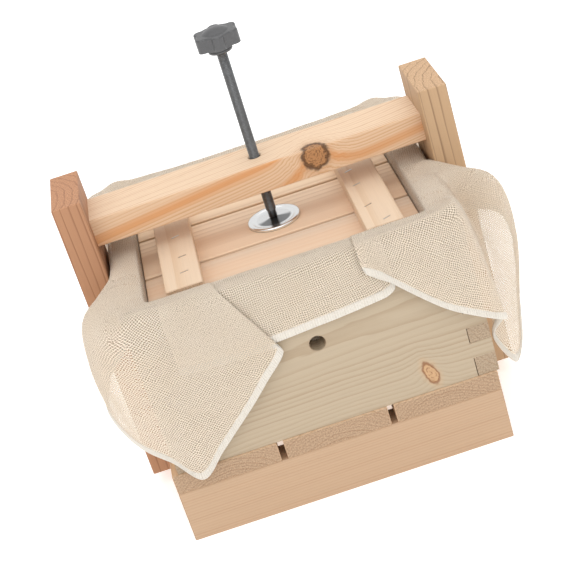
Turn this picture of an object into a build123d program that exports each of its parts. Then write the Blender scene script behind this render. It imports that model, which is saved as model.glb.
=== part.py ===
from build123d import *
import os

# Cheese press: a square pine mould on a slatted base, held in a closed wooden gate frame
# with a hand screw. Millimetres, +Z up, +X to the right and -Y towards the user. The origin
# is on the surface the press stands on, below the middle of the gate frame.

# ---- gate frame ------------------------------------------------------------------
gate_inside = 260  # clear width between the uprights
gate_board = 22  # thickness of every gate board
upright_depth = 66
upright_front = -38  # the uprights stand further forward than back
upright_bottom = 12
upright_height = 242
beam_depth = 44
top_beam_z = 209  # underside of the beam that carries the screw
arris = 0.6  # eased edge on sawn boards

# ---- base ------------------------------------------------------------------------
base_x = -3  # the base stands against the left upright
bearer_height = 44
bearer_thickness = 22
slat_width = 81
slat_gap = 5
slat_length = 253
slat_count = 3
board = 16  # thickness of slats, box panels, lid boards and battens

# ---- box -------------------------------------------------------------------------
box_x = 0.5
box_size = 250
box_height = 132
first_finger = 16  # height of the lowest finger of the corner joints
finger_count = 10
finger_play = 0.1
notch_play = 0.6  # dark gap at the root of each notch
drain_radius = 6
drain_height = 69  # above the box's bottom edge
drain_edge = 0.5

# ---- lid -------------------------------------------------------------------------
lid_x = -0.5
lid_y = 3  # the lid lies a little back in the box
lid_length = 210
lid_board_width = 67
lid_gap = 4
lid_drop = 16.5  # the lid boards' tops lie this far below the box's rim
batten_width = 28
batten_length = 200
batten_spread = 75.5

# ---- screw, knob and foot --------------------------------------------------------
screw_x = 2.8
screw_radius = 4  # M8
rod_end = 184.1
rod_top = 331
running_play = 0.06
beam_bore_radius = 4.5
foot_radius = 21
foot_rest_play = 0.05
neck_radius = 2.2
head_radius = 4
knob_bottom = 318.2
knob_lobe_bottom = 323.2
knob_lobe_height = 10.6
knob_radius = 17.8
knob_lobes = 6

# ---- cheesecloth -----------------------------------------------------------------
cloth = 0.6  # thickness of the cloth's solids
cloth_play = 0.2  # between the cloth and the wood behind it
panel_seam = 0.4  # between neighbouring solids of the cloth

os.makedirs("parts", exist_ok=True)


def finish(piece, label):
    """Name a finished piece and write it."""
    piece.part.label = label
    export_step(piece.part, f"parts/{label}.step")


# ---- levels that follow from the sizes above -------------------------------------
from_below = (Align.CENTER, Align.CENTER, Align.MIN)
from_above = (Align.CENTER, Align.CENTER, Align.MAX)
slat_z = bearer_height
box_z = slat_z + board
rim_z = box_z + box_height
lid_top = rim_z - lid_drop
lid_z = lid_top - board
upright_y = upright_front + upright_depth / 2
beam_ends = gate_inside / 2
upright_x = beam_ends + gate_board / 2
box_half = box_size / 2
box_inside = box_half - board
bearer_y = slat_length / 2 - bearer_thickness / 2

# ---- gate frame ------------------------------------------------------------------
gate_screw_radius = 2
gate_screw_head = 4
gate_screw_length = 50
gate_screw_rows = beam_depth / 2
bottom_beam_z = slat_z - gate_board
screw_levels = [beam_z + gate_board / 2 for beam_z in (bottom_beam_z, top_beam_z)]

for side, sign in (("left", -1), ("right", 1)):
    outer_face = Plane(
        origin=(sign * (beam_ends + gate_board), 0, 0), x_dir=(0, sign, 0), z_dir=(sign, 0, 0)
    )
    with BuildPart() as upright:
        with BuildSketch(Plane.XY.offset(upright_bottom)):
            with Locations((sign * upright_x, upright_y)):
                Rectangle(gate_board, upright_depth)
        extrude(amount=upright_height)
        chamfer(upright.edges(), arris)
        for level in screw_levels:
            with Locations(outer_face):
                with Locations((0, level)):
                    with GridLocations(gate_screw_rows, 1, 2, 1):
                        CounterSinkHole(gate_screw_radius, gate_screw_head)
    finish(upright, f"{side}_upright")

    with BuildPart() as gate_screws:
        for level in screw_levels:
            with BuildSketch(outer_face):
                with Locations((0, level)):
                    with GridLocations(gate_screw_rows, 1, 2, 1):
                        Circle(gate_screw_radius)
            extrude(amount=-gate_screw_length)
            with BuildSketch(outer_face):
                with Locations((0, level)):
                    with GridLocations(gate_screw_rows, 1, 2, 1):
                        Circle(gate_screw_head)
            extrude(amount=-(gate_screw_head - gate_screw_radius), taper=45)
    finish(gate_screws, f"{side}_gate_screws")

nut_flange_radius = 10
nut_flange = 1.6
nut_barrel_radius = 5.2
nut_barrel = 9.5
nut_prongs = 4
nut_prong_depth = 6
nut_prong_size = (1.2, 3)
nut_prong_inset = 1.5
nut_edge = 0.4
bore_edge = 0.9

for label, beam_z in (("top_beam", top_beam_z), ("bottom_beam", bottom_beam_z)):
    with BuildPart() as beam:
        with BuildSketch(Plane.XY.offset(beam_z)):
            Rectangle(gate_inside, beam_depth)
        extrude(amount=gate_board)
        chamfer(beam.edges().filter_by(Axis.X), arris)
        for sign in (-1, 1):
            beam_end = Plane(
                origin=(sign * beam_ends, 0, beam_z + gate_board / 2),
                x_dir=(0, sign, 0),
                z_dir=(sign, 0, 0),
            )
            with Locations(beam_end):
                with GridLocations(gate_screw_rows, 1, 2, 1):
                    Hole(gate_screw_radius, depth=gate_screw_length - gate_board)
        if label == "top_beam":
            underside = Plane(origin=(screw_x, 0, beam_z), x_dir=(1, 0, 0), z_dir=(0, 0, -1))
            with Locations(underside):
                CounterBoreHole(beam_bore_radius, nut_barrel_radius, nut_barrel)
            mouth = beam.edges().filter_by(GeomType.CIRCLE).group_by(Axis.Z)[-1]
            chamfer(mouth, bore_edge)
    finish(beam, label)

with BuildPart() as beam_t_nut:
    with BuildSketch(Plane.XY.offset(top_beam_z - nut_flange)):
        with Locations((screw_x, 0)):
            Circle(nut_flange_radius)
    extrude(amount=nut_flange)
    chamfer(beam_t_nut.edges().group_by(Axis.Z)[0], nut_edge)
    with BuildSketch(Plane.XY.offset(top_beam_z)):
        with Locations((screw_x, 0)):
            Circle(nut_barrel_radius)
    extrude(amount=nut_barrel)
    with BuildSketch(Plane.XY.offset(top_beam_z)):
        with Locations((screw_x, 0)):
            with PolarLocations(nut_flange_radius - nut_prong_inset, nut_prongs, start_angle=45):
                Rectangle(*nut_prong_size)
    extrude(amount=nut_prong_depth)
    with BuildSketch(Plane.XY.offset(top_beam_z - nut_flange)):
        with Locations((screw_x, 0)):
            Circle(screw_radius + running_play)
    extrude(amount=nut_flange + nut_barrel, mode=Mode.SUBTRACT)
finish(beam_t_nut, "beam_t_nut")

# ---- base ------------------------------------------------------------------------
slat_pitch = slat_width + slat_gap
base_width = slat_count * slat_width + (slat_count - 1) * slat_gap

nail_radius = 1.25
nail_head_radius = 2.5
nail_head = 1
nail_length = 40
nail_spread = 50
slat_places = [base_x + (index - 1) * slat_pitch for index in range(slat_count)]

for side, slat_x in zip(("left", "middle", "right"), slat_places):
    with BuildPart() as base_slat:
        with BuildSketch(Plane.XY.offset(slat_z)):
            with Locations((slat_x, 0)):
                Rectangle(slat_width, slat_length)
        extrude(amount=board)
        chamfer(base_slat.edges(), arris)
        with Locations((slat_x, 0, box_z)):
            with GridLocations(nail_spread, 2 * bearer_y, 2, 2):
                CounterBoreHole(nail_radius, nail_head_radius, nail_head)
    finish(base_slat, f"base_slat_{side}")

for side, sign in (("front", -1), ("rear", 1)):
    with BuildPart() as bearer:
        with BuildSketch():
            with Locations((base_x, sign * bearer_y)):
                Rectangle(base_width, bearer_thickness)
        extrude(amount=bearer_height)
        chamfer(bearer.edges(), arris)
        for slat_x in slat_places:
            with Locations((slat_x, sign * bearer_y, bearer_height)):
                with GridLocations(nail_spread, 1, 2, 1):
                    Hole(nail_radius, depth=nail_length - board)
    finish(bearer, f"{side}_bearer")

with BuildPart() as base_nails:
    for radius, length in ((nail_radius, nail_length), (nail_head_radius, nail_head)):
        with BuildSketch(Plane.XY.offset(box_z)):
            for slat_x in slat_places:
                with Locations((slat_x, 0)):
                    with GridLocations(nail_spread, 2 * bearer_y, 2, 2):
                        Circle(radius)
        extrude(amount=-length)
finish(base_nails, "base_nails")

# ---- box with finger-jointed corners ---------------------------------------------
finger = (box_height - first_finger) / (finger_count - 1)
finger_levels = [box_z] + [box_z + first_finger + step * finger for step in range(finger_count)]
notch = board + notch_play + 1


def cut_notches(first, panel_middle, run):
    """Cut every other finger, from the first on, out of both ends of a panel."""
    for step in range(first, finger_count, 2):
        low = finger_levels[step] - finger_play
        high = finger_levels[step + 1] + finger_play
        for end in (-1, 1):
            with Locations(panel_middle + run * (end * (box_half + 1 - notch / 2))):
                with Locations((0, 0, low)):
                    Box(notch, notch, high - low, align=from_below, mode=Mode.SUBTRACT)


for side, sign in (("front", -1), ("back", 1)):
    panel_y = sign * (box_half - board / 2)
    with BuildPart() as panel:
        with BuildSketch(Plane.XY.offset(box_z)):
            with Locations((box_x, panel_y)):
                Rectangle(box_size, board)
        extrude(amount=box_height)
        cut_notches(0, Vector(box_x, panel_y), Vector(1, 0))
        if side == "front":
            drain = Plane(
                origin=(screw_x, -box_half, box_z + drain_height), x_dir=(1, 0, 0), z_dir=(0, -1, 0)
            )
            with Locations(drain):
                Hole(drain_radius)
            chamfer(panel.edges().filter_by(GeomType.CIRCLE), drain_edge)
    finish(panel, f"{side}_panel")

for side, sign in (("left", -1), ("right", 1)):
    panel_x = sign * (box_half - board / 2)
    with BuildPart() as panel:
        with BuildSketch(Plane.XY.offset(box_z)):
            with Locations((box_x + panel_x, 0)):
                Rectangle(board, box_size)
        extrude(amount=box_height)
        cut_notches(1, Vector(box_x + panel_x, 0), Vector(0, 1))
    finish(panel, f"{side}_panel")

# ---- lid -------------------------------------------------------------------------
for index, side in enumerate(("front", "middle", "rear")):
    with BuildPart() as lid_board:
        with BuildSketch(Plane.XY.offset(lid_z)):
            with Locations((lid_x, lid_y + (index - 1) * (lid_board_width + lid_gap))):
                Rectangle(lid_length, lid_board_width)
        extrude(amount=board)
        chamfer(lid_board.edges(), arris)
    finish(lid_board, f"lid_board_{side}")

for side, sign, front_end in (("left", -1, -97), ("right", 1, -101)):
    with BuildPart() as batten:
        with BuildSketch(Plane.XY.offset(lid_top)):
            with Locations((sign * batten_spread, front_end + batten_length / 2)):
                Rectangle(batten_width, batten_length)
        extrude(amount=board)
        chamfer(batten.edges(), arris)
    finish(batten, f"lid_batten_{side}")

# Hand-driven staples: x, y and turn in degrees of each crown.
staple_crown = 6.2
staple_wire = 1.1
staple_legs = 28
staple_proud = 0.25
staple_top = lid_top + board + staple_proud
staple_places = [
    (-74, -9, 20), (-72, -46.5, 10), (-73, -73, 12), (-76, 45, 14), (-73, 68, 22), (-75, 92, 8),
    (69, 8, 24), (70, -21, 20), (70.5, -62.5, 26), (78.5, -92, 26), (73, 52, 18), (77, 88, 15),
]
with BuildPart() as lid_staples:
    for x, y, turn in staple_places:
        with Locations(Location((x, y, staple_top), (0, 0, turn))):
            Box(staple_crown, staple_wire, staple_wire, align=from_above)
            with GridLocations(staple_crown - staple_wire, 1, 2, 1):
                Box(staple_wire, staple_wire, staple_legs, align=from_above)
finish(lid_staples, "lid_staples")

# ---- press screw -----------------------------------------------------------------
head_clearance = 1.0  # below the head, where the foot's pad lies
head_thickness = 0.8
rod_edge = 0.7
head_bottom = lid_top + head_clearance
head_top = head_bottom + head_thickness
with BuildPart() as press_screw:
    with BuildSketch(Plane.XY.offset(rod_end)):
        with Locations((screw_x, 0)):
            Circle(screw_radius)
    extrude(amount=rod_top - rod_end)
    chamfer(press_screw.edges().filter_by(GeomType.CIRCLE), rod_edge)
    with BuildSketch(Plane.XY.offset(head_bottom)):
        with Locations((screw_x, 0)):
            Circle(neck_radius)
    extrude(amount=rod_end - head_bottom)
    with BuildSketch(Plane.XY.offset(head_bottom)):
        with Locations((screw_x, 0)):
            Circle(head_radius)
    extrude(amount=head_top - head_bottom)
finish(press_screw, "press_screw")

# ---- star knob -------------------------------------------------------------------
insert_radius = 6
insert_length = 10
lobe_radius = 4.6
web_overlap = 1.4  # the knob's middle reaches this far into the lobes
lobe_blend = 2.4
lobe_top_edge = 1.2
collar_rings = ((9.2, 1.8), (8.5, 0.5), (9.4, 2.8))  # radius and height, from the bottom up
collar_edge = 0.5
dome_sphere = 18.6  # radius of the sphere that the domed cap is cut from
dome_latitude = 54
knob_dome_top = 336.9
with BuildPart() as star_knob:
    ring_z = knob_bottom
    for radius, height in collar_rings:
        with BuildSketch(Plane.XY.offset(ring_z)):
            with Locations((screw_x, 0)):
                Circle(radius)
        extrude(amount=height)
        ring_z += height
    chamfer(star_knob.edges().group_by(Axis.Z)[0], collar_edge)
    with BuildSketch(Plane.XY.offset(knob_lobe_bottom)) as star:
        with Locations((screw_x, 0)):
            Circle(knob_radius - lobe_radius + web_overlap)
            with PolarLocations(knob_radius - lobe_radius, knob_lobes, start_angle=30):
                Circle(lobe_radius)
        fillet(star.vertices(), lobe_blend)
    extrude(amount=knob_lobe_height)
    fillet(star_knob.edges().group_by(Axis.Z)[-1], lobe_top_edge)
    with Locations((screw_x, 0, knob_dome_top - dome_sphere)):
        Sphere(dome_sphere, arc_size1=dome_latitude, align=None)
    with BuildSketch(Plane.XY.offset(knob_bottom)):
        with Locations((screw_x, 0)):
            Circle(insert_radius)
    extrude(amount=insert_length, mode=Mode.SUBTRACT)
    with BuildSketch(Plane.XY.offset(knob_bottom)):
        with Locations((screw_x, 0)):
            Circle(screw_radius)
    extrude(amount=rod_top - knob_bottom, mode=Mode.SUBTRACT)
finish(star_knob, "star_knob")

with BuildPart() as knob_insert:
    with BuildSketch(Plane.XY.offset(knob_bottom)):
        with Locations((screw_x, 0)):
            Circle(insert_radius)
            Circle(screw_radius, mode=Mode.SUBTRACT)
    extrude(amount=insert_length)
finish(knob_insert, "knob_insert")

# ---- swivel foot -----------------------------------------------------------------
rim_inner = 17
rim_wall = 1
rim_bend = 1  # the rim's rounded outer edge, and the bend inside it
rim_play = 0.15  # between the rim's lower edge and the lid
dish_drop = 0.8
plate_top = rod_end - 5.5
rim_top = plate_top - 0.4
rim_bottom = lid_top + rim_play
pad_thickness = 0.8
with BuildPart() as foot_plate:
    with BuildSketch(Plane.XZ) as profile:
        with BuildLine():
            Polyline(
                (neck_radius + running_play, plate_top),
                (rim_inner - rim_bend, rim_top - dish_drop),
                (rim_inner, rim_top),
                (foot_radius - rim_bend, rim_top),
                (foot_radius, rim_top - rim_bend),
                (foot_radius, rim_bottom),
                (foot_radius - rim_wall, rim_bottom),
                (foot_radius - rim_wall, rim_top - rim_wall),
                (rim_inner, rim_top - rim_wall),
                (rim_inner - rim_bend, rim_top - dish_drop - rim_wall),
                (neck_radius + running_play, plate_top - rim_wall),
                close=True,
            )
        make_face()
    revolve(profile.sketch.moved(Location((screw_x, 0, 0))), Axis((screw_x, 0, 0), (0, 0, 1)))
finish(foot_plate, "foot_plate")

with BuildPart() as foot_pad:
    with BuildSketch(Plane.XY.offset(lid_top + foot_rest_play)):
        with Locations((screw_x, 0)):
            Circle(foot_radius - rim_wall)
    extrude(amount=pad_thickness)
finish(foot_pad, "foot_pad")

# ---- cheesecloth -----------------------------------------------------------------
# One square of cloth, stated as thin solids that lie where it lies: the lining, the turns
# over the rims, the skirts outside, and the four corners, which hang as loose flaps.
lining = box_inside - cloth_play
lining_floor = box_z + cloth_play / 2
skirt_play = 1.6  # how far the skirts stand from the box's outer faces
skirt_hem = 138
flap_y = 137  # reach of the corner flaps to the front and to the back
flap_x = 155  # reach of the flaps past the uprights
flap_top = rim_z + 6
flap_step = 2  # the turned ends of a flap stand this far behind its face
flap_shoulder = 142  # where a flap's inner hem leaves the rim's line
end_play = 8  # between a flap's back edge and the upright
turned_rise = 6  # the turned part's hem is this much higher


def slab(width, depth, low, high, x, y):
    """Add one flat solid of cloth, upright or lying."""
    with Locations((x, y, low)):
        Box(width, depth, high - low, align=from_below)


with BuildPart() as cheesecloth:
    slab(2 * lining, 2 * lining, lining_floor, lining_floor + cloth, box_x, 0)
    wall_low = lining_floor + cloth + panel_seam
    wall_length = 2 * (lining - cloth - panel_seam)
    skirt = box_half + skirt_play
    turn_width = skirt + cloth - lining
    for sign in (-1, 1):
        wall = sign * (lining - cloth / 2)
        turn = sign * (lining + turn_width / 2)
        hang = sign * (skirt + cloth / 2)
        for across in (False, True):
            for width, low, high, place in (
                (cloth, wall_low, rim_z, wall),
                (turn_width, rim_z + cloth_play, rim_z + cloth_play + cloth, turn),
                (cloth, skirt_hem, rim_z, hang),
            ):
                if across:
                    slab(wall_length, width, low, high, box_x, place)
                else:
                    slab(width, wall_length, low, high, box_x + place, 0)

    # Each flap: its inner edge, the tip it hangs to, and the hem where it turns to the side.
    for side, face, inner, tip_x, tip_z, hem_z, back_edge in (
        (-1, -1, -28, -107, 55, 120, upright_front - end_play),
        (1, -1, 52, 138, 63, 112, upright_front - end_play),
        (-1, 1, -60, -118, 62, 116, upright_front + upright_depth + end_play),
        (1, 1, 60, 118, 62, 116, upright_front + upright_depth + end_play),
    ):
        reach = side * (flap_x - flap_step - 1)
        with BuildSketch(Plane.XZ.offset(-face * flap_y)):
            with BuildLine():
                Polyline(
                    (inner, flap_top), (inner, flap_shoulder), (tip_x, tip_z), (reach, hem_z), (reach, flap_top),
                    close=True,
                )
            make_face()
        extrude(amount=face * cloth)
        turned_from = face * (flap_y - flap_step)
        turned_y = (turned_from + back_edge) / 2
        turned_width = abs(turned_from - back_edge)
        slab(cloth, turned_width, hem_z + turned_rise, flap_top, side * flap_x, turned_y)
finish(cheesecloth, "cheesecloth")
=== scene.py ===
import math

import bpy
import numpy as np
from mathutils import Matrix, Vector, noise


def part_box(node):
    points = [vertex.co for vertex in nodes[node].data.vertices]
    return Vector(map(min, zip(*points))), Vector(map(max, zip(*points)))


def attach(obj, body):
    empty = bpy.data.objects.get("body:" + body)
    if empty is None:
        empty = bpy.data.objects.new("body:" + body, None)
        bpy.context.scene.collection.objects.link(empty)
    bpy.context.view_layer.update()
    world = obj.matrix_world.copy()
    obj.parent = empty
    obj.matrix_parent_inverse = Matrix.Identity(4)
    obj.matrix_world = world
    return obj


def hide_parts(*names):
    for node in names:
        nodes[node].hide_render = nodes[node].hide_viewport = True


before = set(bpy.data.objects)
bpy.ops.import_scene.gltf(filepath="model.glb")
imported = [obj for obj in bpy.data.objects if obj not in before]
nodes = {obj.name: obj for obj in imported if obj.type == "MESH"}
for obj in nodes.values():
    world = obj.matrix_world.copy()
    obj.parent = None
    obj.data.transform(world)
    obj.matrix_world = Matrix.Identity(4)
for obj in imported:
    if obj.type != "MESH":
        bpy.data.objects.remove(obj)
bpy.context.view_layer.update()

# A wooden cheese press around its CAD frame. Lengths are in millimetres until they reach a
# Blender object, which is in metres. The front is -Y, and the gate stands across X.
MM = 0.001


def corners_mm(node):
    """Lowest and highest corner of a CAD node in millimetres."""
    low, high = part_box(node)
    return low / MM, high / MM


# ---- camera ----------------------------------------------------------------------
CAMERA_PLACE = (-19.59, -1079.46, 668.64)
CAMERA_ELEVATION, CAMERA_TURN, CAMERA_ROLL = 27.158, 0.859, 17.762
LENS, SENSOR = 95.35, 36


def tilted_camera():
    """Looks down at the front from the camera's place, rolled so that the press leans to the left."""
    elevation, turn, roll = (math.radians(a) for a in (CAMERA_ELEVATION, CAMERA_TURN, CAMERA_ROLL))
    forward = Vector(
        (math.sin(turn) * math.cos(elevation), math.cos(turn) * math.cos(elevation), -math.sin(elevation))
    )
    level = Vector((math.cos(turn), -math.sin(turn), 0))
    above = level.cross(forward)
    right = math.cos(roll) * level - math.sin(roll) * above
    up = math.sin(roll) * level + math.cos(roll) * above
    camera = bpy.data.objects.new("camera", bpy.data.cameras.new("camera"))
    camera.data.lens = LENS
    camera.data.sensor_width = SENSOR
    placed = Matrix((right, up, -forward)).transposed().to_4x4()
    placed.translation = Vector(CAMERA_PLACE) * MM
    camera.matrix_world = placed
    bpy.context.scene.collection.objects.link(camera)
    bpy.context.scene.camera = camera


# ---- light and floor -------------------------------------------------------------
PRESS_MIDDLE = Vector((0, 0, 0.13))


def soft_light(name, place, size, power):
    """A square lamp that points at the middle of the press, with its place and size in metres."""
    lamp = bpy.data.objects.new(name, bpy.data.lights.new(name, "AREA"))
    lamp.data.energy = power
    lamp.data.size = size
    lamp.location = place
    lamp.rotation_mode = "QUATERNION"
    lamp.rotation_quaternion = (Vector(place) - PRESS_MIDDLE).to_track_quat("Z", "Y")
    bpy.context.scene.collection.objects.link(lamp)


def light_and_floor():
    world = bpy.data.worlds.new("studio")
    world.use_nodes = True
    world.node_tree.nodes["Background"].inputs["Color"].default_value = (1, 1, 1, 1)
    world.node_tree.nodes["Background"].inputs["Strength"].default_value = 0.92
    bpy.context.scene.world = world
    bpy.context.scene.view_settings.view_transform = "Standard"
    soft_light("key_light", (-0.25, -1.1, 1.45), 1.6, 8)
    soft_light("top_light", (0.3, 0.0, 1.9), 2.0, 5)
    bpy.ops.mesh.primitive_plane_add(size=60)
    floor = bpy.context.object
    floor.name = "floor"
    floor.data.materials.append(paper())


# ---- shader helper ---------------------------------------------------------------
def linear(red, green, blue):
    """A colour given as the eight-bit values of a screen, in the renderer's linear light."""
    values = [v / 255 for v in (red, green, blue)]
    return tuple(v / 12.92 if v < 0.04045 else ((v + 0.055) / 1.055) ** 2.4 for v in values) + (1,)


class Shader:
    """A material that is built node by node. Inputs are numbers, colours or other nodes' outputs."""

    def __init__(self, name):
        self.material = bpy.data.materials.new(name)
        self.material.use_nodes = True
        self.tree = self.material.node_tree
        self.tree.nodes.clear()

    def add(self, kind, inputs=(), output=0, **settings):
        node = self.tree.nodes.new("ShaderNode" + kind)
        for key, value in settings.items():
            setattr(node, key, value)
        for key, value in dict(inputs).items():
            if isinstance(value, bpy.types.NodeSocket):
                self.tree.links.new(value, node.inputs[key])
            else:
                node.inputs[key].default_value = value
        return node.outputs[output]

    def math(self, operation, *values):
        return self.add("Math", enumerate(values), operation=operation)

    def vector(self, operation, *values, output=0):
        return self.add("VectorMath", enumerate(values), output, operation=operation)

    def scaled(self, vector, factor):
        return self.add("VectorMath", {0: vector, "Scale": factor}, operation="SCALE")

    def join(self, x, y, z):
        return self.add("CombineXYZ", {0: x, 1: y, 2: z})

    def split(self, vector):
        node = self.add("SeparateXYZ", {0: vector}).node
        return node.outputs[0], node.outputs[1], node.outputs[2]

    def noise(self, vector, scale, detail=2.0, roughness=0.5):
        inputs = {"Vector": vector, "Scale": scale, "Detail": detail, "Roughness": roughness}
        return self.add("TexNoise", inputs)

    def fade(self, value, low, high):
        """0 below low and 1 above high, smooth in between."""
        inputs = {"Value": value, "From Min": low, "From Max": high}
        return self.add("MapRange", inputs, interpolation_type="SMOOTHSTEP")

    def spread(self, value, low, high):
        """A 0 to 1 value over the range from low to high."""
        inputs = {"Value": value, "To Min": low, "To Max": high}
        return self.add("MapRange", inputs)

    def mix(self, factor, first, second, kind="MIX"):
        node = self.add("Mix", data_type="RGBA", blend_type=kind).node
        for socket, value in zip((node.inputs[0], node.inputs[6], node.inputs[7]), (factor, first, second)):
            if isinstance(value, bpy.types.NodeSocket):
                self.tree.links.new(value, socket)
            else:
                socket.default_value = value
        return node.outputs[2]

    def ramp(self, value, *stops):
        node = self.add("ValToRGB", {0: value}).node
        while len(node.color_ramp.elements) < len(stops):
            node.color_ramp.elements.new(0.5)
        for element, (position, shade) in zip(node.color_ramp.elements, stops):
            element.position = position
            element.color = (shade, shade, shade, 1)
        return node.outputs[0]

    def finish(self, **inputs):
        inputs = {key.replace("_", " "): value for key, value in inputs.items()}
        surface = self.add("BsdfPrincipled", inputs)
        self.add_output(surface)
        return self.material

    def add_output(self, surface):
        output = self.tree.nodes.new("ShaderNodeOutputMaterial")
        self.tree.links.new(surface, output.inputs["Surface"])

    def bump(self, height, depth_mm, strength=1.0):
        return self.add("Bump", {"Height": height, "Distance": depth_mm * MM, "Strength": strength})

    def place(self):
        """Where the shaded point is, in millimetres in the CAD frame."""
        return self.scaled(self.add("TexCoord", output=3), 1 / MM)


def paper():
    """The pale floor. It glows a little, so that the shadow on it stays faint."""
    shader = Shader("paper")
    grain = shader.noise(shader.place(), 0.4, 3)
    color = shader.mix(grain, linear(247, 247, 246), linear(252, 252, 252))
    return shader.finish(Base_Color=color, Roughness=0.9, Specular_IOR_Level=0.1,
                         Emission_Color=(1, 1, 1, 1), Emission_Strength=0.42)


# ---- wood ------------------------------------------------------------------------
# The y between which the top beam's painted shade and resin bands fade in, so that only its front face shows
# them.
FRONT_SHADE_AND_RESIN_FADE = (-19.0, -21.6)
# The share of a growth ring where its late wood is darkest, and where it stops.
RING_DARKEST, RING_END = 0.93, 0.985


def knot_distance(shader, place, centre, axis, radius):
    """How far the shaded point is from a knot's axis, with a wobbly outline."""
    away = shader.vector("SUBTRACT", place, centre)
    direction = tuple(Vector(axis).normalized())
    reach = shader.vector("DOT_PRODUCT", away, direction, output=1)
    flat = shader.vector("SUBTRACT", away, shader.scaled(direction, reach))
    wobble = shader.spread(shader.noise(place, 0.16, 3), -radius * 0.42, radius * 0.42)
    return shader.math("ADD", shader.vector("LENGTH", flat, output=1), wobble)


def knot_bulge(shader, distance, radius):
    """How far a knot pushes the growth rings aside."""
    swell = shader.math("DIVIDE", distance, radius * 2.1)
    swell = shader.math("EXPONENT", shader.math("MULTIPLY", shader.math("POWER", swell, 2.0), -1.0))
    return shader.math("MULTIPLY", swell, radius * 1.3)


def paint_knot(shader, color, place, distance, radius, wood, bark):
    """The wood's colour with a knot in it: a halo, the knot's own rings and cracks, and its bark."""
    halo = shader.fade(distance, radius * 1.9, radius * 0.9)
    color = shader.mix(shader.math("MULTIPLY", halo, 0.4), color, wood)
    rings = shader.math("SINE", shader.math("MULTIPLY", distance, 6.28 / 1.9))
    cracks = shader.fade(shader.noise(place, 0.55, 3, 0.7), 0.42, 0.6)
    tone = shader.math("MULTIPLY", shader.spread(rings, 0.15, 0.6), shader.spread(cracks, 0.2, 1.3))
    brown = shader.mix(tone, wood, bark)
    color = shader.mix(shader.fade(distance, radius * 1.04, radius * 0.93), color, brown)
    edge = shader.math("ABSOLUTE", shader.math("SUBTRACT", distance, radius))
    edge = shader.math("MULTIPLY", shader.fade(edge, radius * 0.26, 0.0), 0.8)
    return shader.mix(edge, color, bark)


def late_wood(shader, pith_distance, ring, late_from):
    """The dark part of each growth ring, stronger in some years than in others."""
    count = shader.math("DIVIDE", pith_distance, ring)
    late = shader.ramp(
        shader.math("FRACT", count), (0, 0), (late_from, 0.07), ((late_from + RING_DARKEST) / 2, 0.5),
        (RING_DARKEST, 1), (RING_END, 0.12), (1, 0),
    )
    year = shader.add("TexWhiteNoise", {"W": shader.math("FLOOR", count)}, noise_dimensions="1D")
    return shader.math("MULTIPLY", late, shader.spread(year, 0.3, 1.0))


def front_shade_and_heart_bands(shader, color, place, fibre_place, pith_distance, line, heart, heart_rings):
    """The front face darkened towards the late wood colour as painted shade, with streaky resinous bands
    along some growth rings.
    """
    front_only = shader.fade(shader.split(place)[1], *FRONT_SHADE_AND_RESIN_FADE)
    # painted shade: the front face is mixed 35 percent towards the late wood colour
    color = shader.mix(shader.math("MULTIPLY", front_only, 0.35), color, line)
    for distance in heart_rings:
        band = shader.math("ABSOLUTE", shader.math("SUBTRACT", pith_distance, distance))
        streaks = shader.spread(shader.noise(fibre_place, 0.35, 3), 0.1, 1.0)
        band = shader.math("MULTIPLY", shader.fade(band, 5.0, 0.5), streaks)
        color = shader.mix(shader.math("MULTIPLY", band, front_only), color, heart)
    return color


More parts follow.
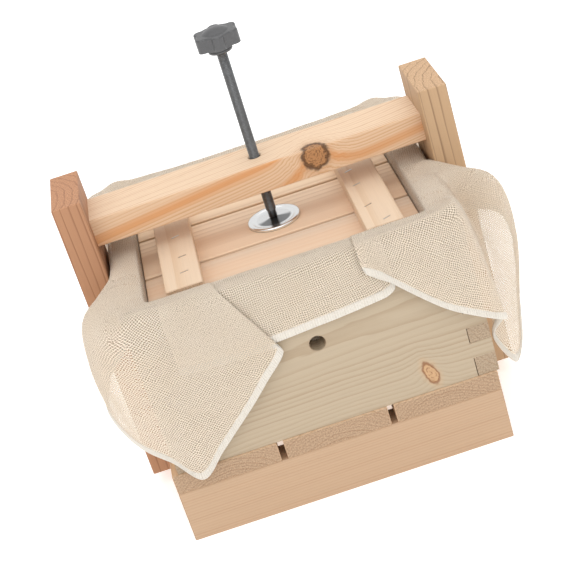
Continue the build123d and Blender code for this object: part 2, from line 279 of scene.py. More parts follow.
def pine(
    name, grain, pith, pale, line, ring=3.2, contrast=0.5, wander=5, drift=0.05, blush=None,
    heart=None, heart_rings=(), tilt=0.0, knots=(), end=(0.84, 0.8, 0.76), late_from=0.42, seed=0,
):
    """Planed pine: growth rings about a pith line that runs along the grain, cut by the board.

    grain is the axis of the grain, pith a point of the pith line, and tilt that line's slope.
    pale and line are the colours of early and late wood, ring is a growth ring's width, late_from
    the share of it where the late wood begins, and contrast how strongly that shows. wander is
    how far the rings stray, and drift how fast they do so along the grain. blush is a warmer
    colour in patches, and heart the colour of the resinous bands at the distances heart_rings
    from the pith. knots are (centre, axis, radius, wood colour, bark colour). end multiplies the
    colour of the faces cut across the grain, and seed gives each board its own figure.
    """
    shader = Shader(name)
    place = shader.place()
    x, y, z = shader.split(shader.vector("SUBTRACT", place, tuple(pith)))
    first, second, along = {"X": (y, z, x), "Y": (x, z, y), "Z": (x, y, z)}[grain]
    second = shader.math("SUBTRACT", second, shader.math("MULTIPLY", along, tilt))
    shifted = shader.math("ADD", along, 1000.0 * seed)
    slow = shader.join(first, second, shader.math("MULTIPLY", shifted, drift))
    fibre_place = shader.join(first, second, shader.math("MULTIPLY", shifted, 0.012))

    # how far the point is from the pith, with the rings' wandering and the bulge round each knot
    radius = shader.math("SQRT", shader.math("ADD", shader.math("POWER", first, 2.0),
                                             shader.math("POWER", second, 2.0)))
    stray = shader.spread(shader.noise(slow, 0.022, 1), -wander, wander)
    tremble = shader.spread(shader.noise(slow, 0.16, 2), -ring * 0.35, ring * 0.35)
    radius = shader.math("ADD", radius, shader.math("ADD", stray, tremble))
    knot_distances = [knot_distance(shader, place, *knot[:3]) for knot in knots]
    for distance, knot in zip(knot_distances, knots):
        radius = shader.math("ADD", radius, knot_bulge(shader, distance, knot[2]))

    late = late_wood(shader, radius, ring, late_from)
    fibre = shader.noise(fibre_place, 1.5, 4, 0.65)
    pores = shader.fade(shader.noise(fibre_place, 3.2, 2), 0.66, 0.74)

    color = shader.mix(shader.math("MULTIPLY", late, contrast), pale, line)
    if blush:
        patch = shader.fade(shader.noise(slow, 0.03, 2), 0.4, 0.68)
        color = shader.mix(shader.math("MULTIPLY", patch, 0.7), color, blush)
    # with heart rings, the front face also gets its painted shade
    if heart_rings:
        color = front_shade_and_heart_bands(shader, color, place, fibre_place, radius, line, heart, heart_rings)
    for distance, knot in zip(knot_distances, knots):
        color = paint_knot(shader, color, place, distance, *knot[2:])
    shade = shader.math("MULTIPLY", shader.spread(fibre, 0.9, 1.08), shader.spread(pores, 1.0, 0.93))
    color = shader.scaled(color, shade)

    # the faces that are cut across the grain are darker and speckled
    normal = shader.split(shader.add("TexCoord", output=1))["XYZ".index(grain)]
    cut = shader.fade(shader.math("ABSOLUTE", normal), 0.55, 0.85)
    speckle = shader.noise(shader.join(first, second, 0.0), 0.85, 3, 0.75)
    speck_color = shader.mix(shader.fade(speckle, 0.34, 0.6), (0.68, 0.64, 0.61, 1), (1.08, 1.07, 1.07, 1))
    cut_color = shader.mix(1.0, shader.mix(1.0, color, (*end, 1), "MULTIPLY"), speck_color, "MULTIPLY")
    color = shader.mix(cut, color, cut_color)

    relief = shader.math("ADD", shader.math("MULTIPLY", late, 0.5), shader.math("MULTIPLY", fibre, 0.6))
    relief = shader.math("ADD", relief, shader.math("MULTIPLY", speckle, cut))
    return shader.finish(
        Base_Color=color,
        Roughness=shader.spread(fibre, 0.5, 0.68),
        Specular_IOR_Level=0.32,
        Normal=shader.bump(relief, 0.16, 0.55),
    )


# ---- metal and plastic -----------------------------------------------------------
def zinc_steel():
    shader = Shader("zinc_steel")
    place = shader.place()
    cloud = shader.noise(place, 0.5, 4)
    color = shader.mix(cloud, linear(84, 86, 88), linear(136, 138, 140))
    rough = shader.spread(shader.noise(place, 1.7, 3), 0.3, 0.48)
    grit = shader.bump(shader.noise(place, 4.0, 3), 0.03, 0.5)
    return shader.finish(Base_Color=color, Metallic=1.0, Roughness=rough, Normal=grit)


def bright_wire():
    shader = Shader("bright_wire")
    place = shader.place()
    color = shader.mix(shader.noise(place, 1.2, 3), linear(178, 177, 174), linear(226, 226, 224))
    rough = shader.spread(shader.noise(place, 2.5, 3), 0.25, 0.42)
    return shader.finish(Base_Color=color, Metallic=1.0, Roughness=rough)


def chrome(centre_x):
    """Pressed and polished steel, with dark reflections painted into its colour in fan shapes round the
    middle, and fine turning grooves in its bump.
    """
    shader = Shader("chrome")
    place = shader.place()
    x, y, _ = shader.split(shader.vector("SUBTRACT", place, (centre_x, 0, 0)))
    angle = shader.math("ARCTAN2", y, x)
    radius = shader.math("SQRT", shader.math("ADD", shader.math("POWER", x, 2.0),
                                             shader.math("POWER", y, 2.0)))
    dish = shader.math("MULTIPLY", shader.fade(radius, 1.0, 3.0), shader.fade(radius, 14.8, 12.8))
    # painted reflection: dark fan shapes in the dish's colour stand in for what the steel mirrors
    painted_reflection_fans = shader.ramp(
        shader.spread(shader.math("SINE", shader.math("ADD", angle, 2.97)), 0.5, 1.0),
        (0.0, 0), (0.48, 0), (0.68, 1), (1.0, 1),
    )
    dark = shader.math("MULTIPLY", shader.math("MULTIPLY", painted_reflection_fans, dish), 0.85)
    color = shader.mix(dark, linear(234, 235, 235), linear(88, 89, 91))
    grooves = shader.noise(shader.join(radius, 0.0, 0.0), 3.0, 2)
    rough = shader.spread(shader.noise(place, 0.8, 3), 0.18, 0.3)
    normal = shader.bump(grooves, 0.01, 0.5)
    return shader.finish(Base_Color=color, Metallic=1.0, Roughness=rough, Normal=normal)


def black_plastic():
    shader = Shader("black_plastic")
    place = shader.place()
    color = shader.mix(shader.noise(place, 0.6, 3), linear(50, 50, 52), linear(70, 70, 72))
    grit = shader.bump(shader.noise(place, 2.2, 4, 0.6), 0.05, 0.6)
    rough = shader.spread(shader.noise(place, 0.4, 2), 0.3, 0.42)
    return shader.finish(Base_Color=color, Roughness=rough, Normal=grit, Specular_IOR_Level=1.0)


def brass():
    shader = Shader("brass")
    color = shader.mix(shader.noise(shader.place(), 1.0, 3), linear(150, 118, 60), linear(196, 164, 92))
    rough = shader.spread(shader.noise(shader.place(), 2.0, 2), 0.25, 0.4)
    return shader.finish(Base_Color=color, Metallic=1.0, Roughness=rough)


# ---- cotton ----------------------------------------------------------------------
THREAD_PITCH = 1.6
WEFT_SEED = 40.0


def woven_cotton():
    """Open plain weave from the sheet's own flat coordinates, with holes between the threads."""
    shader = Shader("cheesecloth_weave")
    u, v, _ = shader.split(shader.add("TexCoord", output=2))
    flat = shader.join(u, v, 0.0)

    def thread(coordinate, other, seed):
        """How high a thread stands, 0 between threads and 1 along its middle, and its number."""
        wave = shader.noise(shader.join(coordinate, other, seed), 0.11, 2)
        place = shader.math("ADD", coordinate, shader.spread(wave, -1.6, 1.6))
        place = shader.math("DIVIDE", place, THREAD_PITCH)
        number = shader.math("FLOOR", place)
        off = shader.math("ABSOLUTE", shader.math("SUBTRACT", shader.math("FRACT", place), 0.5))
        slub_place = shader.join(number, shader.math("MULTIPLY", other, 0.06), seed)
        half_width = shader.spread(shader.noise(slub_place, 0.9, 2), 0.14, 0.35)
        return shader.fade(shader.math("DIVIDE", off, half_width), 1.15, 0.6), number

    warp, warp_number = thread(u, v, 0.0)
    weft, weft_number = thread(v, u, WEFT_SEED)
    over = shader.math("FLOORED_MODULO", shader.math("ADD", warp_number, weft_number), 2.0)
    cover = shader.math("MAXIMUM", warp, weft)
    above_warp = shader.math("MULTIPLY", warp, shader.spread(over, 0.55, 1.0))
    above_weft = shader.math("MULTIPLY", weft, shader.spread(over, 1.0, 0.55))
    height = shader.math("MAXIMUM", above_warp, above_weft)
    lint = shader.noise(flat, 2.4, 3, 0.7)
    tone = shader.noise(flat, 0.02, 2)
    color = shader.mix(tone, linear(248, 234, 214), linear(252, 243, 229))
    # painted shade: the threads turn tan towards their edges and where they dip under a crossing thread
    color = shader.mix(shader.fade(height, 0.2, 0.85), linear(176, 150, 118), color)
    color = shader.scaled(color, shader.spread(lint, 0.95, 1.05))
    normal = shader.bump(shader.math("ADD", height, shader.math("MULTIPLY", lint, 0.25)), 0.28, 0.6)
    thread_face = shader.add("BsdfPrincipled", {
        "Base Color": color, "Roughness": 0.92, "Specular IOR Level": 0.12, "Sheen Weight": 0.25,
        "Normal": normal,
    })
    glow = shader.add("BsdfTranslucent", {"Color": color, "Normal": normal})
    threads = shader.add("MixShader", {0: 0.2, 1: thread_face, 2: glow})
    hole = shader.fade(cover, 0.5, 0.15)
    clear = shader.add("BsdfTransparent")
    shader.add_output(shader.add("MixShader", {0: hole, 1: threads, 2: clear}))
    return shader.material


def hem_thread():
    shader = Shader("hem_thread")
    place = shader.place()
    twist = shader.noise(place, 1.4, 4, 0.7)
    color = shader.mix(twist, linear(208, 200, 188), linear(232, 227, 218))
    normal = shader.bump(shader.noise(place, 2.6, 3, 0.6), 0.2, 0.7)
    return shader.finish(Base_Color=color, Roughness=0.88, Sheen_Weight=0.3, Specular_IOR_Level=0.15,
                         Normal=normal)


# ---- mesh helper -----------------------------------------------------------------
def mesh_piece(name, points, faces, material, body):
    """A new smooth-shaded piece from points in millimetres."""
    mesh = bpy.data.meshes.new(name)
    mesh.from_pydata([tuple(c * MM for c in p) for p in points], [], faces)
    mesh.validate()
    mesh.polygons.foreach_set("use_smooth", [True] * len(mesh.polygons))
    mesh.materials.append(material)
    piece = bpy.data.objects.new(name, mesh)
    bpy.context.scene.collection.objects.link(piece)
    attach(piece, body)
    return piece


def grid_faces(rows, columns, closed_rows=False, closed_columns=False):
    """Quads over points that are stored row by row."""
    faces = []
    for row in range(rows if closed_rows else rows - 1):
        for column in range(columns if closed_columns else columns - 1):
            a = row * columns + column
            b = row * columns + (column + 1) % columns
            step = ((row + 1) % rows - row) * columns
            faces.append((a, b, b + step, a + step))
    return faces


# ---- threaded screw --------------------------------------------------------------
def threaded_screw():
    """The screw with its real thread: a flat head, a plain neck and boss, then a helical surface."""
    low, high = corners_mm("press_screw")
    middle = (low + high) / 2
    outer, inner, pitch = 3.98, 3.35, 1.25
    neck_height, head_thickness, neck_radius, boss_radius = 7.8, 0.8, 2.2, 3.3
    run_out = 0.8
    rod_low, rod_high = low.z + neck_height, high.z
    head_top = low.z + head_thickness
    plate_top = corners_mm("foot_plate")[1].z
    around, per_pitch = 32, 5
    rows = int((rod_high - rod_low) / pitch * per_pitch)
    points = []
    profile = [
        (0.0, low.z), (outer, low.z), (outer, head_top), (neck_radius, head_top),
        (neck_radius, plate_top + 0.3), (boss_radius, plate_top + 0.5), (boss_radius, rod_low - 0.3),
    ]
    for radius, z in profile:
        for step in range(around):
            angle = 2 * math.pi * step / around
            points.append((middle.x + radius * math.cos(angle), middle.y + radius * math.sin(angle), z))
    for row in range(rows + 1):
        z = rod_low + (rod_high - rod_low) * row / rows
        end = min(1, (z - rod_low) / run_out + 0.15, (rod_high - z) / run_out + 0.15)
        for step in range(around):
            angle = 2 * math.pi * step / around
            turn_phase = (z / pitch - step / around) % 1
            crest = min(1, abs(turn_phase - 0.5) * 3.1)
            radius = inner + (outer - inner) * crest * end
            points.append((middle.x + radius * math.cos(angle), middle.y + radius * math.sin(angle), z))
    for step in range(around):
        points.append((middle.x, middle.y, rod_high))
    faces = grid_faces(len(points) // around, around, closed_columns=True)
    screw = mesh_piece("threaded_screw", points, faces, zinc_steel(), "screw")
    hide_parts("press_screw")


def lathe(name, profile, middle, around, material, body):
    """A turned piece: a closed profile of (radius, z) points about an upright axis."""
    points = []
    for radius, z in profile:
        for step in range(around):
            angle = 2 * math.pi * step / around
            points.append((middle.x + radius * math.cos(angle), middle.y + radius * math.sin(angle), z))
    faces = grid_faces(len(profile), around, closed_rows=True, closed_columns=True)
    return mesh_piece(name, points, faces, material, body)


def swivel_foot():
    """The pressed steel plate: a flat rim, a bend, and a dish that rises to the collar."""
    low, high = corners_mm("foot_plate")
    middle = (low + high) / 2
    outer, collar = (high.x - low.x) / 2, 2.4
    rim, bend, wall = high.z - 0.4, 16.6, 0.8
    dish_edge, dish_low, dish_rise, dish_steps = bend - 1.0, rim - 0.85, 1.2, 12
    top = [(outer, low.z), (outer, rim - 1.1), (outer - 0.3, rim - 0.4), (outer - 1.0, rim)]
    top += [(bend + 1.6, rim), (bend + 0.7, rim - 0.15), (bend, rim - 0.75), (dish_edge, dish_low)]
    for step in range(1, dish_steps + 1):
        share = step / dish_steps
        radius = dish_edge * (1 - share) + collar * share
        top.append((radius, dish_low + dish_rise * share ** 2.2))
    under = []
    for radius, z in top[:0:-1]:
        inset = wall if z > low.z + wall else 0
        under.append((max(collar, radius - inset), z - wall))
    profile = top + under + [(outer - wall, low.z)]
    foot = lathe("swivel_foot", profile, middle, 96, chrome(middle.x), "foot")
    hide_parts("foot_plate")


# ---- cheesecloth -----------------------------------------------------------------
# The sheet is a closed band of stations. A station is a line of five points: the rim's inner
# edge, the rim's middle, the shoulder outside, half way down, and the hem. A smooth curve takes
# STATION_STEPS steps from one station to the next, and SPAN_STEPS from one point to the next.
THICKNESS = 0.5
STATION_STEPS, SPAN_STEPS = 8, 7

# the rim's inner edge at the front and at the sides, its middle, its shoulder, and its heights
RIM_IN, RIM_SIDE, RIM_MID, SHOULDER_Y = 106.2, 105.9, 117.0, 127.0
RIM_Z, CREST_Z, SHOULDER_Z = 192.2, 194.0, 190.5

# the hem: its height beside the uprights, the height below which only corner tips hang, how far
# the front drape leans to the right on its way down, and the steps and stitches of the sewn edge
SIDE_HEM_Z = 137.0
TIP_Z = 60
HANG_LEAN = 2
HEM_STEP = 0.4
STITCH_PITCH = 1.9

# the lining: how many points lining() gives, the box's inner wall, and the edge of the lid's way
LINING_ROWS = 7
WALL = 108.2
LID_REAR = 108.1


def front_station(x, hem_z, hang_y=-128.0):
    """The drape that hangs in front of the box between the two corner flaps."""
    return [
        (x, -RIM_IN, RIM_Z), (x, -RIM_MID, CREST_Z), (x, -SHOULDER_Y, SHOULDER_Z),
        (x + HANG_LEAN / 2, hang_y, (190 + hem_z) / 2), (x + HANG_LEAN, hang_y, hem_z),
    ]


def side_station(y, sign):
    """Cloth that hangs in the gap between the box and an upright, sign -1 left and 1 right."""
    x = sign * (127.4 if sign < 0 else 127.6)
    return [
        (sign * RIM_SIDE, y, RIM_Z), (sign * RIM_MID, y, CREST_Z), (x, y, 190.0), (x, y, 165.0),
        (x, y, SIDE_HEM_Z),
    ]


# From beside the left upright, round the corner's loose fold, to a pleat over the front drape.
LEFT_FLAP = [
    [(-105.9, -44, 192.6), (-118, -46, 195.5), (-130, -52, 192), (-136, -52, 165), (-135, -50, 134)],
    [(-105.9, -56, 192.6), (-119, -58, 195.5), (-144, -69, 187), (-153, -72, 158), (-151, -75, 128)],
    [(-105.9, -68, 192.6), (-121, -72, 195.8), (-151, -92, 190), (-159, -100, 156), (-157, -104, 115)],
    [(-105.9, -82, 192.8), (-121, -88, 196.2), (-140, -116, 192), (-149, -124, 148), (-143, -126, 93)],
    [(-105.9, -94, 192.8), (-118, -102, 195), (-127, -128, 190.6), (-129, -134, 142), (-124, -132, 75)],
    [(-104.5, -104, 192.8), (-111, -112, 194.8), (-114, -131, 191.4), (-112, -135, 128), (-107, -133, 55)],
    [(-96, -106.2, 192.9), (-98, -116, 194.6), (-98, -131, 191.6), (-93, -133, 135), (-86, -132, 73)],
    [(-84, -106.2, 192.9), (-85, -117, 195), (-84, -131, 192.2), (-76, -133, 145), (-65, -132, 92)],
    [(-70, -106.2, 192.9), (-70, -117, 196.4), (-69, -130.6, 193), (-58, -132.6, 155), (-44, -131.8, 113)],
    [(-58, -106.3, 192.9), (-55, -117, 195.8), (-52, -129.4, 193), (-38, -131, 167), (-22.5, -130.6, 137)],
    [(-74, -106.5, 192.6), (-76, -117, 195.0), (-76, -128.4, 191.6), (-68, -129.6, 166), (-60, -129.6, 139)],
    [(-92, -106.6, 192.3), (-96, -117, 194.4), (-97, -127.2, 190.6), (-97, -128, 166), (-96, -128, 141)],
    [(-80, -106.6, 192.2), (-80, -117, 194.0), (-80, -126.8, 190.4), (-80, -127, 166), (-80, -127, 141)],
]


# From the front drape, over the right corner, along the valley and ridge of the fold that stands
# out there, to beside the right upright.
RIGHT_FLAP = [
    [(66, -106.6, 192.3), (66, -117, 194.3), (66, -127.2, 191), (67, -128.4, 175), (67.5, -129.2, 157)],
    [(58, -106.5, 192.7), (58, -117, 195.0), (58, -128.6, 192), (59, -130, 180), (58, -130.4, 166)],
    [(48, -106.3, 193.0), (47.5, -117, 195.8), (47.5, -129.8, 194), (48, -131.4, 184), (49.5, -131.8, 174)],
    [(58, -106.2, 193.2), (57, -117, 195.2), (57, -130.8, 196), (59, -133, 182), (60, -133, 167)],
    [(75, -106.2, 193.2), (74, -117, 194.6), (74, -131, 197), (77, -133.8, 175), (78, -133.4, 148)],
    [(92, -106.2, 193.2), (92, -117, 194.4), (93, -131.4, 197.5), (95, -134.5, 164), (97, -133.4, 129)],
    [(103.5, -105, 193.2), (108, -113, 194.4), (110, -131.4, 198.5), (112, -135, 157), (115, -134, 117)],
    [(105.8, -100, 193), (116, -106, 194.6), (122, -129, 199.5), (127, -134, 150), (131, -133, 107)],
    [(105.8, -92, 193), (118, -97, 195), (127, -121, 198.5), (134.5, -130, 148), (138.5, -131, 103)],
    [(105.8, -82, 193), (125, -90, 194.6), (131.5, -106, 184), (136, -109, 148), (137, -119, 96)],
    [(105.8, -70, 193), (126.5, -78, 194.2), (133, -94, 173), (141, -99, 140), (129, -114, 80)],
    [(105.8, -60, 193), (127, -64, 194.2), (140, -92, 172), (151, -102, 143), (142, -110, 53)],
    [(105.8, -51, 193), (127, -52, 194.6), (157, -98, 199), (165, -104, 158), (153, -106, 84)],
    [(105.8, -42, 193), (127, -42, 195.6), (151, -76, 198), (160, -88, 184), (162, -96, 158)],
    [(105.8, -34, 192.8), (124, -30, 197), (137, -48, 194), (141, -52, 178), (142, -56, 160)],
]


def turned_to_back(stations, flip_x):
    """Front stations at a back corner of the box, in the loop's order and flat over the back rim."""
    back_rim_z, back_rim_y, corner_x = 192.8, 127.4, 100
    moved = []
    for line in stations:
        line = [(flip_x * x, -y, z) for x, y, z in line]
        if abs(line[0][0]) < corner_x:
            line[1] = (*line[1][:2], back_rim_z)
            line[2] = (line[2][0], back_rim_y, SHOULDER_Z)
        moved.append(line)
    return moved if flip_x < 0 else moved[::-1]


def cloth_stations():
    """All stations of the loop, counterclockwise from the right upright, and the corner tips' numbers."""
    right_side = [side_station(y, 1) for y in (-22, -4, 12, 26)]
    back = [
        [(-x, -y, z) for x, y, z in front_station(x, hem)]
        for x, hem in ((-58, 141), (-30, 142), (0, 144), (30, 142), (58, 141))
    ]
    left_side = [side_station(y, -1) for y in (26, 10, -8, -26)]
    front = [front_station(*station) for station in (
        (-60, 141, -127.4), (-42, 141.6, -128), (-20, 143, -128.4), (2, 145, -128.6),
        (22, 146.5, -129.2), (38, 147.5, -128.2), (50, 148.7, -127.8), (60, 151, -128),
    )]
    stations = [
        *right_side, *turned_to_back(LEFT_FLAP, -1), *back, *turned_to_back(LEFT_FLAP, 1), *left_side,
        *LEFT_FLAP, *front, *RIGHT_FLAP,
    ]
    heights = [line[-1][2] for line in stations]
    tips = [i for i, z in enumerate(heights) if z < TIP_Z and z == min(heights[max(0, i - 3):i + 4])]
    return np.array(stations, float), tips


def spline(points, count, closed):
    """A smooth (Catmull-Rom) curve through points along their first axis, count steps to a span."""
    total = len(points)
    made = []
    for i in range(total if closed else total - 1):
        if closed:
            a, b, c, d = (points[(i + k) % total] for k in (-1, 0, 1, 2))
        else:
            a, b, c, d = (points[min(max(i + k, 0), total - 1)] for k in (-1, 0, 1, 2))
        for step in range(count):
            t = step / count
            made.append(0.5 * (2 * b + (c - a) * t + (2 * a - 5 * b + 4 * c - d) * t * t
                               + (3 * b - a - 3 * c + d) * t ** 3))
    if not closed:
        made.append(points[-1])
    return np.array(made)


def flat_places(lines, tips):
    """Each point's place in the uncut sheet.

    The hem is walked round, turning at each corner, and every line of points leaves it at the
    angle that it has in the hung cloth, smoothed along the hem. Then the places are relaxed.
    """
    hem = lines[:, -1]
    count = len(hem)
    rise_rows, near, reach = 11, 4, 12
    ahead = np.roll(hem, -3, 0) - np.roll(hem, 3, 0)
    rise = lines[:, -1 - rise_rows] - hem
    cosine = (ahead * rise).sum(1) / (np.linalg.norm(ahead, axis=1) * np.linalg.norm(rise, axis=1))
    lean = np.arccos(np.clip(cosine, -0.87, 0.87))
    heading = np.zeros(count)
    weight = np.linalg.norm(ahead, axis=1) ** 2 * (1 - cosine ** 2) + 1e-6
    for tip in tips:
        heading[tip:] += math.pi / 2
        weight[tip - near:tip + near + 1] *= 0.01
    angle = heading + lean
    window = np.hanning(2 * reach + 1)
    around = np.concatenate([angle[-reach:] - 2 * math.pi, angle, angle[:reach] + 2 * math.pi])
    heavy = np.concatenate([weight[-reach:], weight, weight[:reach]])
    angle = np.convolve(around * heavy, window, "valid") / np.convolve(heavy, window, "valid")
    angle = np.append(angle, angle[0] + 2 * math.pi)
    places = np.zeros((count + 1, lines.shape[1], 2))
    here = np.zeros(2)
    for i in range(count + 1):
        line = lines[i % count]
        lengths = np.linalg.norm(np.diff(line[::-1], axis=0), axis=1)
        along = np.concatenate([[0], np.cumsum(lengths)])[::-1]
        places[i] = here + along[:, None] * np.array([math.cos(angle[i]), math.sin(angle[i])])
        step = np.linalg.norm(hem[(i + 1) % count] - hem[i % count])
        here = here + step * np.array([math.cos(heading[i % count]), math.sin(heading[i % count])])
    return relaxed(places, np.concatenate([lines, lines[:1]]))


def relaxed(places, points):
    """Moves flat places, all but the hem, until their distances agree with those in the hung cloth."""
    rounds, stiffness = 1500, 0.12
    whole, front, back = slice(None), slice(1, None), slice(None, -1)
    links = []
    for first, second in (
        ((back, whole), (front, whole)), ((whole, back), (whole, front)),
        ((back, back), (front, front)), ((back, front), (front, back)),
    ):
        length = np.linalg.norm(points[second] - points[first], axis=-1, keepdims=True)
        links.append((first, second, length))
    for _ in range(rounds):
        move = np.zeros_like(places)
        for first, second, length in links:
            apart = places[second] - places[first]
            now = np.maximum(np.linalg.norm(apart, axis=-1, keepdims=True), 1e-6)
            push = apart * (1 - length / now) * stiffness
            move[first] += push
            move[second] -= push
        move[:, -1] = 0
        places = places + move
    return places


def hem_strip(lines):
    """The sewn edge: a thick band of stitches across the hem, on both faces of the cloth."""
    overhang = 0.5
    widths = np.array([-overhang, 0.6, 2.0, 3.4, 4.8, 6.0])
    crown = np.array([0.25, 0.8, 1.0, 1.0, 0.8, 0.25])[None, :, None]
    band = np.zeros((len(lines), len(widths), 3))
    for i, line in enumerate(lines):
        rising = line[::-1]
        lengths = np.concatenate([[0], np.cumsum(np.linalg.norm(np.diff(rising, axis=0), axis=1))])
        for axis in range(3):
            band[i, :, axis] = np.interp(widths, lengths, rising[:, axis])
        first = rising[1] - rising[0]
        band[i, 0] -= first / max(np.linalg.norm(first), 1e-6) * overhang
    band = np.concatenate([band, band[:1]])
    steps = np.linalg.norm(np.diff(band[:, 2], axis=0), axis=1)
    along = np.concatenate([[0], np.cumsum(steps)])
    samples = np.arange(0, along[-1], HEM_STEP)
    dense = np.stack([[np.interp(samples, along, band[:, j, axis]) for axis in range(3)]
                      for j in range(len(widths))])
    dense = dense.transpose(2, 0, 1)
    across = np.roll(dense, -1, 0) - np.roll(dense, 1, 0)
    normal = np.cross(across, np.gradient(dense, axis=1))
    normal /= np.maximum(np.linalg.norm(normal, axis=2, keepdims=True), 1e-9)
    rib = np.abs(np.sin(math.pi * samples / STITCH_PITCH))[:, None, None]
    swell = normal * crown * (0.15 + 1.05 * rib)
    ring = np.concatenate([dense + swell, (dense - swell)[:, ::-1]], axis=1)
    points = ring.reshape(-1, 3).tolist()
    faces = grid_faces(len(samples), ring.shape[1], closed_rows=True, closed_columns=True)
    return mesh_piece("cheesecloth_hem", points, faces, hem_thread(), "frame")


def lining(rim):
    """The points inside the box that lead from the mould's floor up to a point of the rim."""
    floor_z, meeting_z, spread = 61.6, 187.5, 108.4
    x, y, _ = rim
    wall_x = min(max(x * spread / RIM_SIDE, -WALL), WALL)
    wall_y = min(max(y * spread / RIM_IN, -WALL), WALL)
    near_x, near_y = min(max(wall_x, -106.3), 105.5), max(wall_y, -107.6)
    inside = [(wall_x, wall_y, z) for z in (floor_z, 90, 120, 145)]
    inside += [(near_x, near_y, z) for z in (164, 178)]
    return inside + [((near_x + x) / 2, (near_y + y) / 2, meeting_z)]


def soft_folds(lines):
    """Small waves across the cloth, which grow towards the hem. The lining stays flat."""
    across = np.roll(lines, -1, 0) - np.roll(lines, 1, 0)
    normal = np.cross(across, np.gradient(lines, axis=1))
    normal /= np.maximum(np.linalg.norm(normal, axis=2, keepdims=True), 1e-9)
    broad, fine, fine_shift = 38, 15, Vector((7, 3, 1))
    first_hang = LINING_ROWS + 2 * SPAN_STEPS
    for i in range(lines.shape[0]):
        for j in range(LINING_ROWS, lines.shape[1]):
            share = min(1, max(0.25, (j - first_hang) / (2 * SPAN_STEPS)))
            p = Vector(lines[i, j])
            swell = noise.noise(p / broad) * 1.5 + noise.noise(p / fine + fine_shift) * 0.45
            lines[i, j] += normal[i, j] * swell * share


def lay_flat(cloth, flat, count):
    """Gives the mesh its flat coordinates. The last column's faces meet the first at the loop's end."""
    layer = cloth.data.uv_layers.new(name="flat")
    for face in cloth.data.polygons:
        last_column = any(cloth.data.loops[k].vertex_index % count == count - 1 for k in face.loop_indices)
        for k in face.loop_indices:
            row, column = divmod(cloth.data.loops[k].vertex_index, count)
            if column == 0 and last_column:
                column = count
            layer.data[k].uv = flat[column, row]


def cheesecloth():
    """The draped sheet and its sewn edge."""
    stations, tips = cloth_stations()
    columns = spline(stations, STATION_STEPS, closed=True)
    lines = np.array([
        np.vstack([lining(column[0]), spline(column, SPAN_STEPS, closed=False)]) for column in columns
    ])
    soft_folds(lines)

    # the back rim keeps clear of the lid's way down
    back_from, lid_half = 100, 106
    x, y = lines[..., 0], lines[..., 1]
    lid_path = (y > back_from) & (y < LID_REAR) & (abs(x) < lid_half)
    lines[lid_path, 1] = LID_REAR

    count, rows = lines.shape[:2]
    points = [tuple(p) for line in lines.transpose(1, 0, 2) for p in line]
    faces = grid_faces(rows, count, closed_columns=True)
    cloth = mesh_piece("cheesecloth_sheet", points, faces, woven_cotton(), "frame")
    lay_flat(cloth, flat_places(lines, [tip * STATION_STEPS for tip in tips]), count)
    thick = cloth.modifiers.new("thickness", "SOLIDIFY")
    thick.thickness = THICKNESS * MM
    thick.offset = 0
    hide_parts("cheesecloth")
    hem = hem_strip(lines)
    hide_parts("cheesecloth")


# ---- finishes of the CAD nodes ---------------------------------------------------
def paint(node, material):
    nodes[node].data.materials.clear()
    nodes[node].data.materials.append(material)


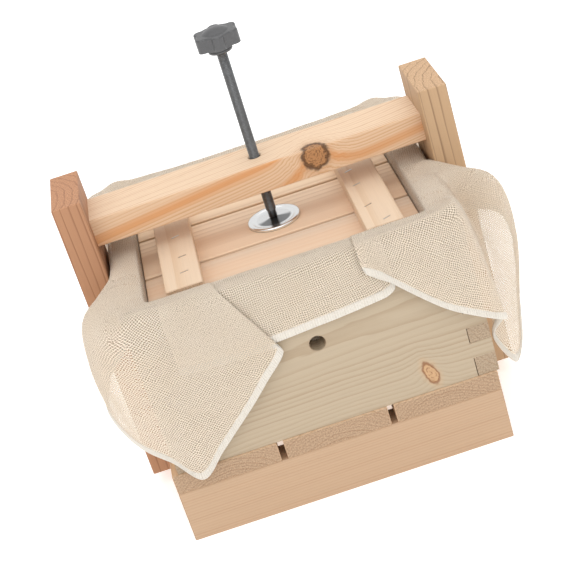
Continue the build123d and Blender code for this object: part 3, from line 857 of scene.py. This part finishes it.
def finish_wood():
    paint("left_upright", pine(
        "pine_left_upright", "Z", (-190, -16, 0), linear(181, 134, 101), linear(130, 86, 60), ring=5.5,
        contrast=0.9, wander=4, late_from=0.74, end=(1.22, 1.22, 1.22), seed=1))
    paint("right_upright", pine(
        "pine_right_upright", "Z", (196, -30, 0), linear(190, 157, 122), linear(124, 94, 68), ring=6.5,
        contrast=0.95, wander=3, late_from=0.78, end=(1.3, 1.32, 1.36), seed=2))
    paint("top_beam", pine(
        "pine_top_beam", "X", (0, 70, 330), linear(238, 210, 180), linear(206, 160, 118), ring=1.9,
        contrast=1.0, wander=4, drift=0.06, heart=linear(214, 136, 58), heart_rings=(137, 155), tilt=0.12,
        knots=(((46, -22, 226), (0.05, -0.8, 0.6), 9.4, linear(190, 138, 92), linear(54, 32, 22)),),
        seed=3))
    paint("bottom_beam", pine(
        "pine_bottom_beam", "X", (0, 30, -20), linear(238, 206, 168), linear(208, 158, 110), seed=4))
    # painted shade: the front panel's colours are darkened to stand for the shade on its front face
    paint("front_panel", pine(
        "pine_front_panel", "X", (0, -92, 128), linear(182, 165, 141), linear(154, 130, 102), ring=3.1,
        contrast=0.6, wander=8, drift=0.16,
        knots=(((75.7, -125, 75.4), (0.3, -0.55, -0.95), 4.6, linear(200, 162, 122), linear(132, 88, 56)),),
        seed=5))
    paint("back_panel", pine(
        "pine_back_panel", "X", (0, 190, 90), linear(233, 210, 178), linear(206, 170, 126), wander=8,
        drift=0.15, seed=6))
    for side, pith_x, seed in (("left", -180, 7), ("right", 176, 8)):
        paint(f"{side}_panel", pine(
            f"pine_{side}_panel", "Y", (pith_x, 0, 130), linear(232, 208, 178), linear(202, 164, 124),
            wander=6, drift=0.1, end=(0.52, 0.51, 0.5), seed=seed))
    for index, side in enumerate(("left", "middle", "right")):
        paint(f"base_slat_{side}", pine(
            f"pine_slat_{side}", "Y", (-89 + 86 * index, 0, 12 - 9 * index), linear(222, 190, 156),
            linear(180, 138, 100), ring=2.4, contrast=0.7, end=(0.63, 0.62, 0.62), seed=9 + index))
    # painted shade: both bearers' colours are darkened to stand for the shade on the front bearer's face
    for side, place, seed in (("front", -160, 12), ("rear", 160, 13)):
        paint(f"{side}_bearer", pine(
            f"pine_{side}_bearer", "X", (0, place, -70), linear(190, 160, 131), linear(168, 130, 98),
            ring=2.2, contrast=0.6, wander=4, drift=0.06, seed=seed))
    # painted light: the middle and rear lid boards are paler than the front one, to cancel the top beam's
    # shadow on them
    lid_tones_with_painted_light = (linear(227, 209, 190), linear(253, 228, 200), linear(250, 224, 194))
    for index, side in enumerate(("front", "middle", "rear")):
        paint(f"lid_board_{side}", pine(
            f"pine_lid_{side}", "X", (0, -90 + 80 * index, 96), lid_tones_with_painted_light[index], linear(214, 180, 146),
            ring=2.8, contrast=0.85, wander=5, blush=linear(234, 200, 168), seed=14 + index))
    for side, pith_x, seed in (("left", -60, 17), ("right", 92, 18)):
        paint(f"lid_batten_{side}", pine(
            f"pine_batten_{side}", "Y", (pith_x, 0, 120), linear(228, 203, 176), linear(204, 168, 130),
            ring=3.4, contrast=0.8, end=(0.9, 0.84, 0.78), seed=seed))


def finish_hardware():
    steel, wire = zinc_steel(), bright_wire()
    for node in ("beam_t_nut", "foot_pad"):
        paint(node, steel)
    for node in ("left_gate_screws", "right_gate_screws", "base_nails", "lid_staples"):
        paint(node, wire)
    low, high = corners_mm("foot_plate")
    paint("foot_plate", chrome((low.x + high.x) / 2))
    paint("star_knob", black_plastic())
    paint("knob_insert", brass())


tilted_camera()
light_and_floor()
finish_wood()
finish_hardware()
threaded_screw()
swivel_foot()
cheesecloth()
